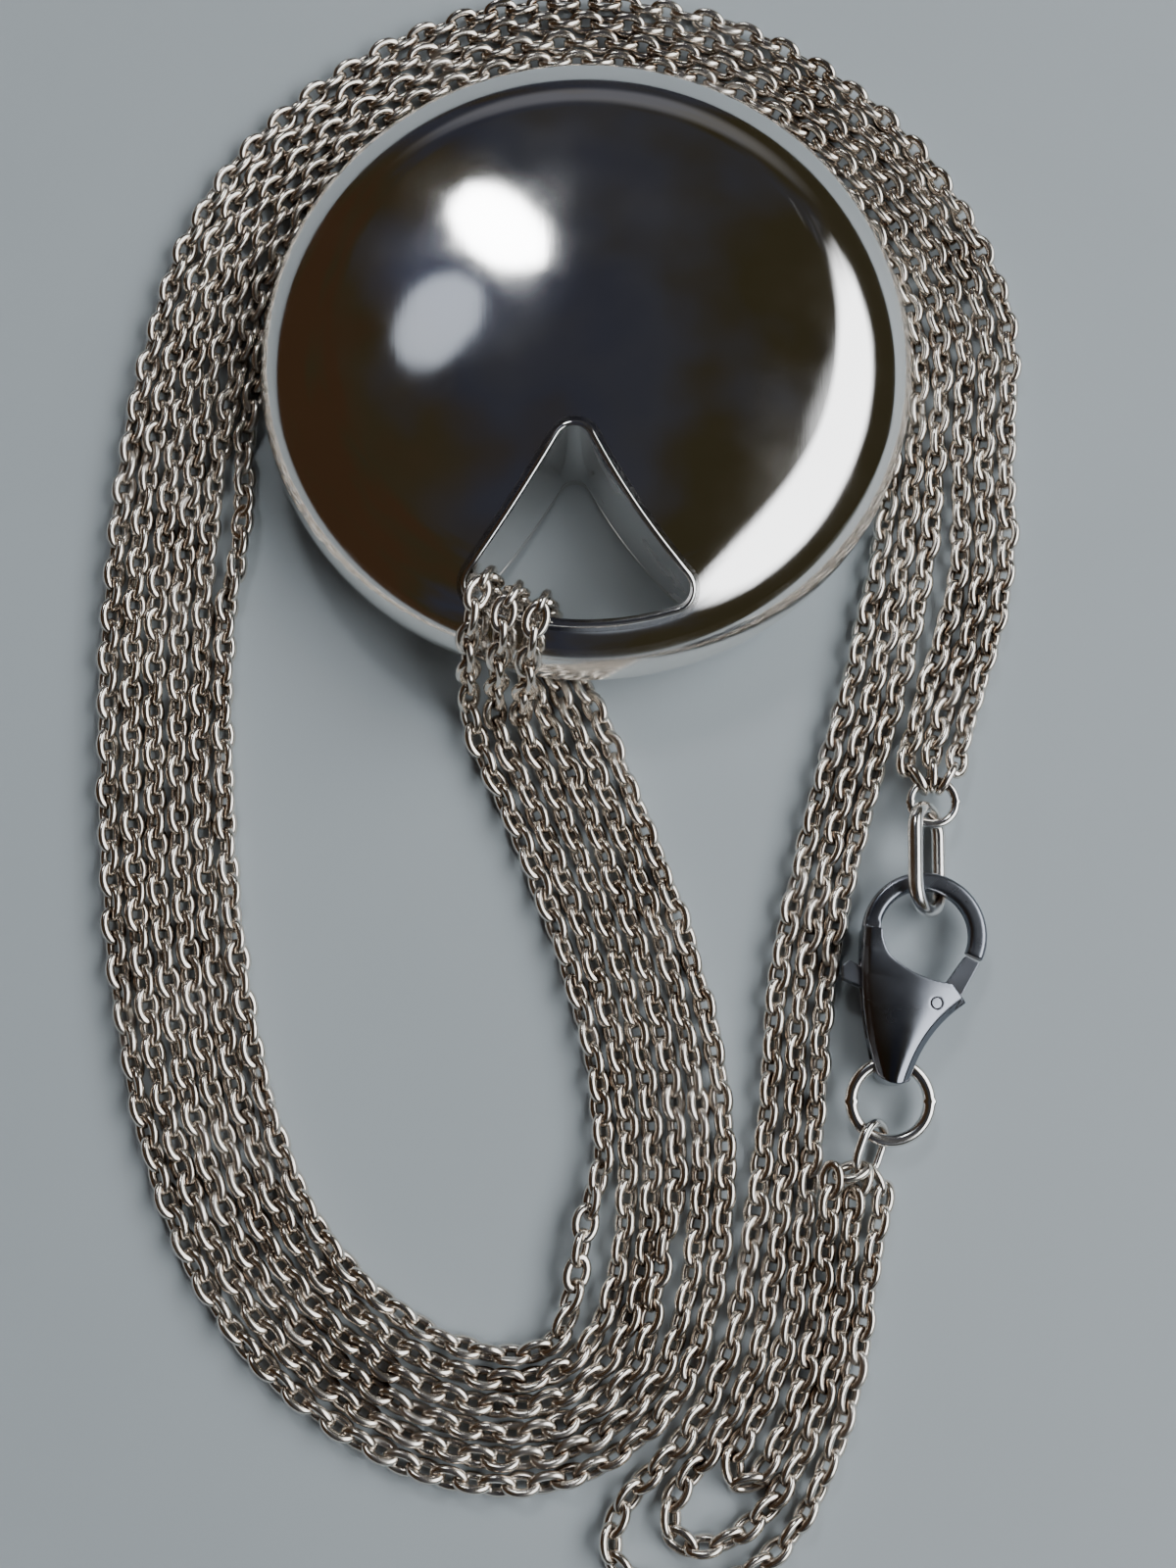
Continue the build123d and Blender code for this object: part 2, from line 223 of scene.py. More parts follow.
TURNS = [
    [
        (7.7, -54.4, LYING),
        (5.2, -58.9, LYING),
        (1.2, -62.4, LYING),
        (1.4, -65.6, LYING),
        (6.0, -66.6, LYING),
        (10.4, -64.2, LYING),
        (13.0, -59.4, LYING),
        (14.4, -54.4, LYING),
        (15.2, -49.4, LYING),
    ],
    [
        (9.15, -54.4, LYING),
        (6.9, -58.8, LYING),
        (4.0, -62.1, LYING),
        (5.0, -64.4, LYING),
        (8.6, -63.3, LYING),
        (11.6, -59.2, LYING),
        (13.1, -54.4, LYING),
        (13.9, -49.6, LYING),
    ],
    [
        (10.55, -54.4, LYING),
        (8.8, -57.9, LYING),
        (7.3, -60.2, LYING),
        (8.5, -61.3, LYING),
        (10.5, -58.3, LYING),
        (11.85, -54.2, LYING),
        (12.62, -49.8, LYING),
    ],
]


def heading(route, k):
    """The route's headings into and out of point k, seen from above, as unit vectors."""
    here = Vector(route[k][:2])
    before = [Vector(p[:2]) for p in route[:k]]
    after = [Vector(p[:2]) for p in route[k + 1:]]
    into = here - before[-1] if before else None
    out = after[0] - here if after else None
    return (into or out).normalized(), (out or into).normalized()


def beside(route, shift):
    """The route moved sideways, to the right of its heading when shift is positive."""
    moved = []
    for k, (x, y, z, spread) in enumerate(route):
        into, out = heading(route, k)
        along = (into + out).normalized()
        reach = shift * spread / along.dot(into)
        moved.append((x + along.y * reach, y - along.x * reach, z, spread))
    return moved


def ring_direction(number):
    """Outwards from the end ring, level, towards the strand of that number."""
    angle = math.radians(START_FAN * (number - 1))
    return Vector((math.sin(angle), math.cos(angle), 0))


def ring_point(number):
    return END_RING_CENTRE + ring_direction(number) * END_RING_RADIUS


def connector_turn():
    return (Matrix.Rotation(math.radians(CONNECTOR_TURN), 3, "Z")
            @ Matrix.Rotation(math.radians(CONNECTOR_ROLL), 3, "Y"))


def connector_outward(number):
    """Outwards from the middle of the connector's lower bend, in the connector's own plane."""
    angle = math.radians(FINISH_FAN * (1 - number))
    return connector_turn() @ Vector((math.sin(angle), -math.cos(angle), 0))


def connector_point(number):
    drop = Vector((0, (CONNECTOR_LENGTH - CONNECTOR_WIDTH) / 2, 0))
    bend_centre = CONNECTOR_CENTRE - connector_turn() @ drop
    return bend_centre + connector_outward(number) * (CONNECTOR_WIDTH - CONNECTOR_WIRE) / 2


def connector_direction(number):
    """The level direction in which the strand of that number leaves the connector."""
    angle = math.radians(FINISH_SPLAY * (1 - number) + CONNECTOR_TURN)
    return Vector((math.sin(angle), -math.cos(angle), 0))


def strand_route(number):
    """The points of one strand, from the end ring to the connector link."""
    shift = STRAND_SPACING * (number - 1)
    first = FIRST_LEAD + beside(DOUBLE_BAND, HALF_SPACING) + UNDER_THE_RIM
    second = OVER_THE_RIM + beside(DOUBLE_BAND[::-1], HALF_SPACING) + SECOND_TAIL
    middle = beside(first, shift) + beside(second, -shift)
    start = ring_point(number) + ring_direction(number) * STRAND_START_REACH
    finish = connector_point(number) + connector_direction(number) * STRAND_START_REACH
    return [start] + [Vector(place[:3]) for place in middle] + [Vector(p) for p in TURNS[number]] + [finish]


def centreline(points):
    """Points closely along the smooth line that the route's points control."""
    data = bpy.data.curves.new("centreline", "CURVE")
    data.dimensions = "3D"
    data.resolution_u = 24
    spline = data.splines.new("NURBS")
    spline.points.add(len(points) - 1)
    for place, point in zip(spline.points, points):
        place.co = (*(point * MM), 1)
    spline.order_u = 3
    spline.use_endpoint_u = True
    carrier = bpy.data.objects.new("centreline", data)
    bpy.context.scene.collection.objects.link(carrier)
    mesh = bpy.data.meshes.new_from_object(carrier)
    places = [vertex.co.copy() for vertex in mesh.vertices]
    bpy.data.objects.remove(carrier)
    bpy.data.curves.remove(data)
    bpy.data.meshes.remove(mesh)
    return places


def lengths_along(places):
    lengths = [0.0]
    for a, b in zip(places, places[1:]):
        lengths.append(lengths[-1] + (b - a).length)
    return lengths


def place_at(places, lengths, distance):
    """The point at that distance along a line."""
    distance = min(max(distance, 0.0), lengths[-1])
    low = 0
    high = len(lengths) - 1
    while high - low > 1:
        middle = (low + high) // 2
        if lengths[middle] <= distance:
            low = middle
        else:
            high = middle
    share = (distance - lengths[low]) / max(lengths[high] - lengths[low], 1e-12)
    return places[low].lerp(places[high], share)


def oval_line(length, width, wire, steps):
    """The middle line of an egg-sided link's wire, long along Y, as (point, outward direction)."""
    reach = (length - wire) / 2
    half = (width - wire) / 2
    line = []
    for k in range(steps):
        angle = 2 * math.pi * (k + 0.5) / steps
        point = Vector((math.cos(angle) * half, math.sin(angle) * reach, 0))
        outward = Vector((math.cos(angle) * reach, math.sin(angle) * half, 0)).normalized()
        line.append((point, outward))
    return line


def loop_line(length, width, wire, steps):
    """The middle line of a straight-sided link's wire, long along Y, as (point, outward direction)."""
    bend = (width - wire) / 2
    straight = (length - width) / 2
    line = []
    for side in (1, -1):
        for k in range(steps):
            angle = math.pi * k / (steps - 1)
            outward = Vector((math.cos(angle) * side, math.sin(angle) * side, 0))
            line.append((outward * bend + Vector((0, straight * side, 0)), outward))
    return line


def section(wire, depth, corners, squareness):
    """A wire's cross-section: (outward, upward) pairs, rounder with squareness 2, flatter with more."""
    ring = []
    for k in range(corners):
        angle = 2 * math.pi * (k + 0.5) / corners
        cosine = math.cos(angle)
        sine = math.sin(angle)
        across = math.copysign(abs(cosine) ** (2 / squareness), cosine) * wire / 2
        up = math.copysign(abs(sine) ** (2 / squareness), sine) * depth / 2
        ring.append((across, up))
    return ring


def tube_faces(count, corners):
    """The faces of a closed ring of count sections, each with that many corners."""
    faces = []
    for k in range(count):
        following = (k + 1) % count
        here = k * corners
        there = following * corners
        for corner in range(corners):
            beyond = (corner + 1) % corners
            faces.append((here + corner, there + corner, there + beyond, here + beyond))
    return faces


def link_shape(line, wire, depth, corners, squareness):
    """Vertices and faces of one link, in millimetres, round its own middle."""
    ring = section(wire, depth, corners, squareness)
    vertices = []
    for point, outward in line:
        for across, up in ring:
            vertices.append(point + outward * across + Vector((0, 0, up)))
    return vertices, tube_faces(len(line), corners)


def chain_link():
    line = oval_line(LINK_LENGTH, LINK_WIDTH, LINK_WIRE, 22)
    return link_shape(line, LINK_WIRE, LINK_DEPTH, corners=8, squareness=2.6)


def mesh_object(name, vertices, faces, smooth=True):
    mesh = bpy.data.meshes.new(name)
    mesh.from_pydata([tuple(v) for v in vertices], [], faces)
    mesh.validate()
    made = bpy.data.objects.new(name, mesh)
    bpy.context.scene.collection.objects.link(made)
    if smooth:
        mesh.shade_smooth()
    return made


def placed(shape, matrix):
    """The shape's vertices moved by a matrix that works in millimetres, as metres."""
    return [(matrix @ vertex) * MM for vertex in shape[0]]


def merged(parts):
    """One list of vertices and one of faces from several (vertices, faces)."""
    vertices = []
    faces = []
    for part_vertices, part_faces in parts:
        first = len(vertices)
        vertices.extend(part_vertices)
        faces.extend(tuple(first + index for index in face) for face in part_faces)
    return vertices, faces


def axes_matrix(origin, across, along, normal):
    matrix = Matrix.Identity(4)
    for column, axis in enumerate((across, along, normal, origin)):
        matrix[0][column], matrix[1][column], matrix[2][column] = axis
    return matrix


def kink_push(name, here):
    """How far, in millimetres, a link is pushed out of line by the kinks of its strand."""
    push = Vector((0, 0, 0))
    for strand, place, sideways, reach in KINKS:
        distance = (Vector(place) - here.xy).length / (reach * LINK_PITCH)
        if strand == name and distance < 1:
            push += Vector((*sideways, KINK_LIFT)) * (1 - distance ** 2)
    return push


def links_along(places, shape, name):
    """Chain links along a line, each rolled the other way from the one before."""
    lengths = lengths_along(places)
    lead = (hang_reach(END_RING_WIRE) + LINK_PITCH - STRAND_START_REACH) * MM
    count = round((lengths[-1] - 2 * lead) / (LINK_PITCH * MM))
    pitch = (lengths[-1] - 2 * lead) / count
    up = Vector((0, 0, 1))
    parts = []
    for k in range(count + 1):
        distance = lead + k * pitch
        here = place_at(places, lengths, distance)
        back = place_at(places, lengths, distance - pitch / 2)
        forward = place_at(places, lengths, distance + pitch / 2)
        along = (forward - back).normalized()
        carried = (up - along * up.dot(along)).normalized()
        upright = Vector((0, 0, 1)) - along * along.z
        if upright.length > 0.3:
            upright.normalize()
            if upright.dot(carried) < 0:
                upright.negate()
            up = carried.lerp(upright, UPRIGHT_PULL).normalized()
        else:
            up = carried
        push = kink_push(name, here / MM)
        roll = LINK_ROLL * (-1) ** k + chance.gauss(0, ROLL_CHANCE + KINK_ROLL_CHANCE * push.length)
        normal = Matrix.Rotation(math.radians(roll), 3, along) @ up
        swing = Matrix.Rotation(math.radians(chance.gauss(0, SWING_CHANCE)), 3, normal)
        leaning = swing @ along
        across = leaning.cross(normal)
        sway = Vector((chance.gauss(0, SWAY_CHANCE), chance.gauss(0, SWAY_CHANCE), 0))
        matrix = axes_matrix(here / MM + sway + push, across, leaning, normal)
        parts.append((placed(shape, matrix), shape[1]))
    return merged(parts)


def add_strand(number, name, material):
    places = centreline(strand_route(number))
    shape = chain_link()
    vertices, faces = links_along(places, shape, name)
    strand = mesh_object(f"chain_links_{name}", vertices, faces)
    stand_in(strand, f"chain_strand_{name}", material)


def hang_reach(held_wire):
    return LINK_LENGTH / 2 - LINK_WIRE - held_wire / 2 - LINK_PLAY


def end_link(place, direction, wire_direction, held_wire, shape):
    across = wire_direction.cross(direction).normalized()
    normal = across.cross(direction)
    matrix = axes_matrix(place + direction * hang_reach(held_wire), across, direction, normal)
    return placed(shape, matrix), shape[1]


def add_end_links(material):
    shape = chain_link()
    first = []
    second = []
    normal = connector_turn() @ Vector((0, 0, 1))
    for number in range(3):
        direction = ring_direction(number)
        wire_direction = Vector((direction.y, -direction.x, 0))
        first.append(end_link(ring_point(number), direction, wire_direction, END_RING_WIRE, shape))
        wire_direction = normal.cross(connector_outward(number))
        direction = connector_direction(number)
        second.append(end_link(connector_point(number), direction, wire_direction, CONNECTOR_WIRE, shape))
    for name, parts in (("first", first), ("second", second)):
        piece = mesh_object(f"end_links_{name}", *merged(parts))
        stand_in(piece, f"strand_end_links_{name}", material)


def add_loop(name, node, length, width, wire, matrix, material):
    """A ring or oval link of round wire."""
    shape = link_shape(loop_line(length, width, wire, 33), wire, wire, corners=20, squareness=2.15)
    piece = mesh_object(name, placed(shape, matrix), shape[1])
    stand_in(piece, node, material)


def add_rings(material):
    size = 2 * END_RING_RADIUS + END_RING_WIRE
    add_loop("end_ring_wire", "end_ring", size, size, END_RING_WIRE,
             Matrix.Translation(END_RING_CENTRE), material)
    roll = (Matrix.Rotation(math.radians(OVAL_ROLL), 4, "Y")
            @ Matrix.Rotation(math.radians(OVAL_TURN), 4, "Z"))
    add_loop("oval_link_wire", "oval_link", OVAL_LENGTH, OVAL_WIDTH, OVAL_WIRE,
             Matrix.Translation(OVAL_CENTRE) @ roll, material)
    size = 2 * JUMP_RING_RADIUS + JUMP_RING_WIRE
    tilt = Matrix.Rotation(math.radians(JUMP_RING_TILT), 4, "X")
    add_loop("jump_ring_wire", "clasp_jump_ring", size, size, JUMP_RING_WIRE,
             Matrix.Translation(JUMP_RING_CENTRE) @ tilt, material)
    add_loop("connector_wire", "connector_link", CONNECTOR_LENGTH, CONNECTOR_WIDTH, CONNECTOR_WIRE,
             Matrix.Translation(CONNECTOR_CENTRE) @ connector_turn().to_4x4(), material)


def polar(centre, radius, angle):
    """The point (outward, upward) at that angle, in degrees from straight up, on an arc."""
    turn = math.radians(angle)
    return Vector((centre.x + radius * math.sin(turn), centre.y + radius * math.cos(turn)))


SHOULDER_START = math.degrees(math.asin(SHOULDER_START_RADIUS / CROWN_ARC))
CROWN_MIDDLE = Vector((0, APEX_HEIGHT - CROWN_ARC))
SHOULDER_MIDDLE = polar(CROWN_MIDDLE, CROWN_ARC - SHOULDER_ARC, SHOULDER_START)
WALL_MIDDLE = polar(SHOULDER_MIDDLE, SHOULDER_ARC - WALL_ARC, SEAM_SLOPE)
LOWER_EDGE_MIDDLE = polar(WALL_MIDDLE, WALL_ARC - LOWER_EDGE_ARC, 90)
DISH_REACH = LOWER_EDGE_MIDDLE.x - FLAT_RADIUS
DISH_ARC = (DISH_REACH ** 2 + LOWER_EDGE_MIDDLE.y ** 2 - LOWER_EDGE_ARC ** 2) / (
    2 * (LOWER_EDGE_MIDDLE.y - LOWER_EDGE_ARC))
DISH_MIDDLE = Vector((FLAT_RADIUS, DISH_ARC))
DISH_END = 180 - math.degrees(math.asin(DISH_REACH / (DISH_ARC - LOWER_EDGE_ARC)))


def arc_points(centre, radius, start, end, steps):
    return [polar(centre, radius, start + (end - start) * k / steps) for k in range(steps + 1)]


def front_line(drop):
    """The front's profile from the middle to the seam, drop millimetres inside its outer face."""
    crown = arc_points(CROWN_MIDDLE, CROWN_ARC - drop, 0.02, SHOULDER_START, 40)
    shoulder = arc_points(SHOULDER_MIDDLE, SHOULDER_ARC - drop, SHOULDER_START, SEAM_SLOPE, 28)
    return crown + shoulder[1:]


def back_line(drop):
    """The back's profile from the middle to the seam, drop millimetres inside its outer face."""
    flat = [Vector((FLAT_RADIUS * k / 6 + 0.02, drop)) for k in range(6)]
    dish = arc_points(DISH_MIDDLE, DISH_ARC - drop, 180, DISH_END, 24)
    edge = arc_points(LOWER_EDGE_MIDDLE, LOWER_EDGE_ARC - drop, DISH_END, 90, 14)
    wall = arc_points(WALL_MIDDLE, WALL_ARC - drop, 90, SEAM_SLOPE, 14)
    return flat + dish + edge[1:] + wall[1:]


def spun(name, outline):
    """A closed outline spun round the Z axis."""
    vertices = []
    for k in range(TURN_STEPS):
        angle = 2 * math.pi * k / TURN_STEPS
        for point in outline:
            vertices.append(Vector((point.x * math.cos(angle), point.x * math.sin(angle), point.y)) * MM)
    return mesh_object(name, vertices, tube_faces(TURN_STEPS, len(outline)))


def circle_through(a, b, c):
    """The centre of the circle through three points of the plane."""
    d = 2 * (a.x * (b.y - c.y) + b.x * (c.y - a.y) + c.x * (a.y - b.y))
    aa, bb, cc = a.length_squared, b.length_squared, c.length_squared
    x = (aa * (b.y - c.y) + bb * (c.y - a.y) + cc * (a.y - b.y)) / d
    y = (aa * (c.x - b.x) + bb * (a.x - c.x) + cc * (b.x - a.x)) / d
    return Vector((x, y))


def three_point_arc(a, b, c, steps):
    centre = circle_through(a, b, c)
    start = math.atan2(a.y - centre.y, a.x - centre.x)
    end = math.atan2(c.y - centre.y, c.x - centre.x)
    turn = (end - start + math.pi) % (2 * math.pi) - math.pi
    radius = (a - centre).length
    return [
        centre + Vector((math.cos(start + turn * k / steps), math.sin(start + turn * k / steps))) * radius
        for k in range(steps + 1)
    ]


def half_angle(a, b):
    return a.angle(b) / 2


def rounded(sides, radius):
    """A closed outline of sides that meet at corners, with each corner filleted."""
    outline = []
    for k, side in enumerate(sides):
        following = sides[(k + 1) % len(sides)]
        before = sides[k - 1]
        corner = side[-1]
        half = half_angle(side[-6] - corner, following[5] - corner)
        reach = radius / math.tan(half)
        first_half = half_angle(before[-6] - side[0], side[5] - side[0])
        first_reach = radius / math.tan(first_half)
        kept = [p for p in side if (p - side[0]).length > first_reach and (p - corner).length > reach]
        entry = corner + (kept[-1] - corner).normalized() * reach
        leaving = next(p for p in following if (p - corner).length > reach)
        leaving = corner + (leaving - corner).normalized() * reach
        outline.extend(kept)
        for step in range(13):
            share = step / 12
            weight = (1 - share) ** 2, 2 * share * (1 - share) * math.sin(half), share ** 2
            outline.append((entry * weight[0] + corner * weight[1] + leaving * weight[2]) / sum(weight))
    return outline


def opening_outline(grow):
    """The opening seen from above, a bell with its base along the rim, made larger by grow."""
    apex = Vector((-0.6 + 0.2 * grow, -4.9 + 2.2 * grow))
    left_corner = Vector((-6.9 - 1.45 * grow, -14.55 - 0.4 * grow))
    right_corner = Vector((6.3 + 1.5 * grow, -14.8 - 0.45 * grow))
    left_middle = Vector((-3.55 - 0.84 * grow, -9.85 + 0.55 * grow))
    right_middle = Vector((2.35 + 0.82 * grow, -10.1 + 0.57 * grow))
    base_middle = Vector((0, -RIM_STRIP_RADIUS - grow))
    left = three_point_arc(apex, left_middle, left_corner, 40)
    base = three_point_arc(left_corner, base_middle, right_corner, 48)
    right = three_point_arc(right_corner, right_middle, apex, 40)
    return rounded([left, base, right], OPENING_FILLET + grow)


def prism(name, outline, low, high):
    count = len(outline)
    vertices = [Vector((p.x, p.y, z)) * MM for z in (low, high) for p in outline]
    faces = [tuple(range(count - 1, -1, -1)), tuple(range(count, 2 * count))]
    for k in range(count):
        following = (k + 1) % count
        faces.append((k, following, count + following, count + k))
    return mesh_object(name, vertices, faces, smooth=False)


def cut(target, tool, operation="DIFFERENCE"):
    modifier = target.modifiers.new("cut", "BOOLEAN")
    modifier.operation = operation
    modifier.solver = "EXACT"
    modifier.object = tool
    depsgraph = bpy.context.evaluated_depsgraph_get()
    made = bpy.data.meshes.new_from_object(target.evaluated_get(depsgraph))
    target.modifiers.clear()
    target.data = made


def sharpen(target, angle):
    """Smooth shading with sharp edges where faces turn by more than angle degrees."""
    target.data.shade_smooth()
    working = bmesh.new()
    working.from_mesh(target.data)
    limit = math.radians(angle)
    for edge in working.edges:
        edge.smooth = not (len(edge.link_faces) == 2 and edge.calc_face_angle(0) > limit)
    working.to_mesh(target.data)
    working.free()


def polish(target):
    """Exact normals on the pendant's outer faces, so that its reflections run true."""
    mesh = target.data
    current = [Vector(normal.vector) for normal in mesh.corner_normals]
    for polygon in mesh.polygons:
        for index in polygon.loop_indices:
            co = mesh.vertices[mesh.loops[index].vertex_index].co / MM
            radius = math.hypot(co.x, co.y)
            true_normal = outer_normal(radius, co.z)
            if true_normal is None:
                continue
            true_normal = normal_vector(true_normal, co, radius)
            if true_normal.dot(polygon.normal) > 0.97:
                current[index] = true_normal
    mesh.normals_split_custom_set(current)


def normal_vector(normal, co, radius):
    spoke = Vector((co.x / max(radius, 1e-6), co.y / max(radius, 1e-6), 0))
    return (spoke * normal.x + Vector((0, 0, normal.y))).normalized()


def outer_normal(radius, height):
    """The outer surface's normal (outward, upward) there, or None off that surface."""
    point = Vector((radius, height))
    for centre, arc, low, high in (
        (CROWN_MIDDLE, CROWN_ARC, -0.1, SHOULDER_START),
        (SHOULDER_MIDDLE, SHOULDER_ARC, SHOULDER_START, SEAM_SLOPE + 0.1),
        (WALL_MIDDLE, WALL_ARC, SEAM_SLOPE - 0.1, 90.1),
        (LOWER_EDGE_MIDDLE, LOWER_EDGE_ARC, 89.9, DISH_END),
    ):
        spoke = point - centre
        angle = math.degrees(math.atan2(spoke.x, spoke.y))
        if abs(spoke.length - arc) < 0.02 and low <= angle <= high + 0.01:
            return spoke.normalized()
    return None


def front_height(radius):
    """How high the front's outer face is, that far from the middle."""
    if radius < SHOULDER_START_RADIUS:
        return CROWN_MIDDLE.y + math.sqrt(CROWN_ARC ** 2 - radius ** 2)
    return SHOULDER_MIDDLE.y + math.sqrt(SHOULDER_ARC ** 2 - (radius - SHOULDER_MIDDLE.x) ** 2)


def add_lip(material):
    """The opening's edge, rolled over: a bead let into the front face."""
    line = opening_outline(LIP_RADIUS)
    corners = 14
    vertices = []
    for k, point in enumerate(line):
        along = (line[(k + 1) % len(line)] - line[k - 1]).normalized()
        outward = Vector((along.y, -along.x, 0))
        centre = Vector((point.x, point.y, front_height(point.length) - LIP_RADIUS * LIP_SINK))
        for c in range(corners):
            angle = 2 * math.pi * c / corners
            reach = outward * math.cos(angle) + Vector((0, 0, math.sin(angle)))
            vertices.append((centre + reach * LIP_RADIUS) * MM)
    lip = mesh_object("opening_lip", vertices, tube_faces(len(line), corners))
    stand_in(lip, "opening_liner", material)


def add_pendant(front_material, back_material, liner_material):
    hole = prism("hole", opening_outline(0), -1, APEX_HEIGHT + 1)
    recessed_hole = prism("recessed_hole", opening_outline(LINER_RECESS), -1, APEX_HEIGHT + 1)
    wide_hole = prism("wide_hole", opening_outline(SHELL), -1, APEX_HEIGHT + 1)
    front = spun("pendant_front", front_line(0) + front_line(SHELL)[::-1])
    back = spun("pendant_back", back_line(0) + back_line(SHELL)[::-1])
    envelope = spun("envelope", front_line(0) + back_line(0)[::-1])
    liner = wide_hole.copy()
    liner.data = wide_hole.data.copy()
    liner.name = "pendant_liner"
    bpy.context.scene.collection.objects.link(liner)
    cut(front, hole)
    cut(back, hole)
    cut(liner, recessed_hole)
    cut(liner, envelope, "INTERSECT")
    add_lip(front_material)
    for piece, node, material in (
        (front, "pendant_front_shell", front_material),
        (back, "pendant_back_shell", back_material),
        (liner, "opening_liner", liner_material),
    ):
        sharpen(piece, 30)
        polish(piece)
        stand_in(piece, node, material)
    for tool in (hole, recessed_hole, wide_hole, envelope):
        bpy.data.objects.remove(tool)


def clasp_local(co):
    """A point of the clasp in its own plane, in millimetres."""
    turn = Matrix.Rotation(math.radians(-CLASP_TURN), 3, "Z")
    return turn @ (co / MM - CLASP_CENTRE)


def clasp_world(point):
    turn = Matrix.Rotation(math.radians(CLASP_TURN), 3, "Z")
    return (turn @ point + CLASP_CENTRE) * MM


def cast(name, node, voxel, rounds, material):
    """A softly rounded copy of a CAD piece, as if cast and tumbled."""
    piece = bpy.data.objects.new(name, frame["nodes"][node].data.copy())
    bpy.context.scene.collection.objects.link(piece)
    weld = piece.modifiers.new("weld", "WELD")
    weld.merge_threshold = 1e-6
    remesh = piece.modifiers.new("remesh", "REMESH")
    remesh.mode = "VOXEL"
    remesh.voxel_size = voxel * MM
    smooth = piece.modifiers.new("smooth", "SMOOTH")
    smooth.factor = 0.5
    smooth.iterations = rounds
    depsgraph = bpy.context.evaluated_depsgraph_get()
    made = bpy.data.meshes.new_from_object(piece.evaluated_get(depsgraph))
    piece.modifiers.clear()
    piece.data = made
    made.shade_smooth()
    return stand_in(piece, node, material)


def dome_clasp(piece):
    """Thins the clasp's body towards its sides, so that its faces are domed."""
    for vertex in piece.data.vertices:
        local = clasp_local(vertex.co)
        if local.y > DOME_START:
            continue
        share = min((DOME_START - local.y) / CLASP_TAPER_LENGTH, 1.0)
        middle = -0.1 - 0.35 * share
        half = 3.1 - 2.0 * share
        across = min(abs(local.x - middle) / half, 1.0)
        blend = min((DOME_START - local.y) / DOME_BLEND, 1.0)
        local.z *= 1 - 0.34 * across ** 2 * blend - 0.12 * share
        vertex.co = clasp_world(local)


def node_maker(material):
    """A material's node tree, and a function that adds a node to it with the values given."""
    tree = material.node_tree

    def make(kind, **values):
        node = tree.nodes.new(kind)
        for key, value in values.items():
            if hasattr(node, key):
                setattr(node, key, value)
            else:
                node.inputs[key.replace("_", " ")].default_value = value
        return node

    return tree, make


def silver(name, colour, dark, rough, scratch=0.4, grain=900.0, tarnish_and_shade=None, tarnish_and_shade_reach=0.5):
    """Polished silver: fine scratches, uneven polish and, if asked, brown tarnish and painted shade in the
    hollows, laid where ambient occlusion finds them.
    """
    material = bpy.data.materials.new(name)
    material.use_nodes = True
    tree, make = node_maker(material)
    shader = tree.nodes["Principled BSDF"]
    shader.inputs["Metallic"].default_value = 1.0
    place = make("ShaderNodeTexCoord")
    cloud = make("ShaderNodeTexNoise", Scale=180.0, Detail=4.0)
    tree.links.new(place.outputs["Object"], cloud.inputs["Vector"])
    tone = make("ShaderNodeMix", data_type="RGBA")
    tone.inputs["A"].default_value = (*dark, 1)
    tone.inputs["B"].default_value = (*colour, 1)
    tree.links.new(cloud.outputs["Fac"], tone.inputs["Factor"])
    last = tone.outputs["Result"]
    if tarnish_and_shade:
        # Tarnish and painted shade: the colour turns brown where ambient occlusion finds hollows and gaps
        # between parts.
        hollow = make("ShaderNodeAmbientOcclusion", samples=6)
        hollow.inputs["Distance"].default_value = tarnish_and_shade_reach * MM
        ramp = make("ShaderNodeValToRGB")
        ramp.color_ramp.elements[0].position = 0.35
        ramp.color_ramp.elements[0].color = (1, 1, 1, 1)
        ramp.color_ramp.elements[1].position = 0.92
        ramp.color_ramp.elements[1].color = (0, 0, 0, 1)
        tree.links.new(hollow.outputs["AO"], ramp.inputs["Fac"])
        patch = make("ShaderNodeTexNoise", Scale=260.0, Detail=2.0)
        tree.links.new(place.outputs["Object"], patch.inputs["Vector"])
        amount = make("ShaderNodeMath", operation="MULTIPLY")
        tree.links.new(ramp.outputs["Color"], amount.inputs[0])
        spread = make("ShaderNodeMapRange")
        spread.inputs["From Min"].default_value = 0.35
        spread.inputs["From Max"].default_value = 0.6
        spread.inputs["To Min"].default_value = 0.35
        tree.links.new(patch.outputs["Fac"], spread.inputs["Value"])
        tree.links.new(spread.outputs["Result"], amount.inputs[1])
        tarnish_and_shade_mix = make("ShaderNodeMix", data_type="RGBA")
        tarnish_and_shade_mix.inputs["B"].default_value = (*tarnish_and_shade, 1)
        tree.links.new(last, tarnish_and_shade_mix.inputs["A"])
        tree.links.new(amount.outputs["Value"], tarnish_and_shade_mix.inputs["Factor"])
        last = tarnish_and_shade_mix.outputs["Result"]
    tree.links.new(last, shader.inputs["Base Color"])
    wear = make("ShaderNodeMapRange")
    wear.inputs["From Min"].default_value = 0.3
    wear.inputs["From Max"].default_value = 0.7
    wear.inputs["To Min"].default_value = rough * 0.6
    wear.inputs["To Max"].default_value = rough * 1.6
    tree.links.new(cloud.outputs["Fac"], wear.inputs["Value"])
    tree.links.new(wear.outputs["Result"], shader.inputs["Roughness"])
    stretch = make("ShaderNodeMapping")
    stretch.inputs["Scale"].default_value = (1.0, 0.06, 1.0)
    stretch.inputs["Rotation"].default_value = (0, 0, 0.7)
    tree.links.new(place.outputs["Object"], stretch.inputs["Vector"])
    lines = make("ShaderNodeTexNoise", Scale=grain * 4, Detail=3.0)
    tree.links.new(stretch.outputs["Vector"], lines.inputs["Vector"])
    bump = make("ShaderNodeBump")
    bump.inputs["Strength"].default_value = scratch
    bump.inputs["Distance"].default_value = 0.002 * MM
    tree.links.new(lines.outputs["Fac"], bump.inputs["Height"])
    tree.links.new(bump.outputs["Normal"], shader.inputs["Normal"])
    return material


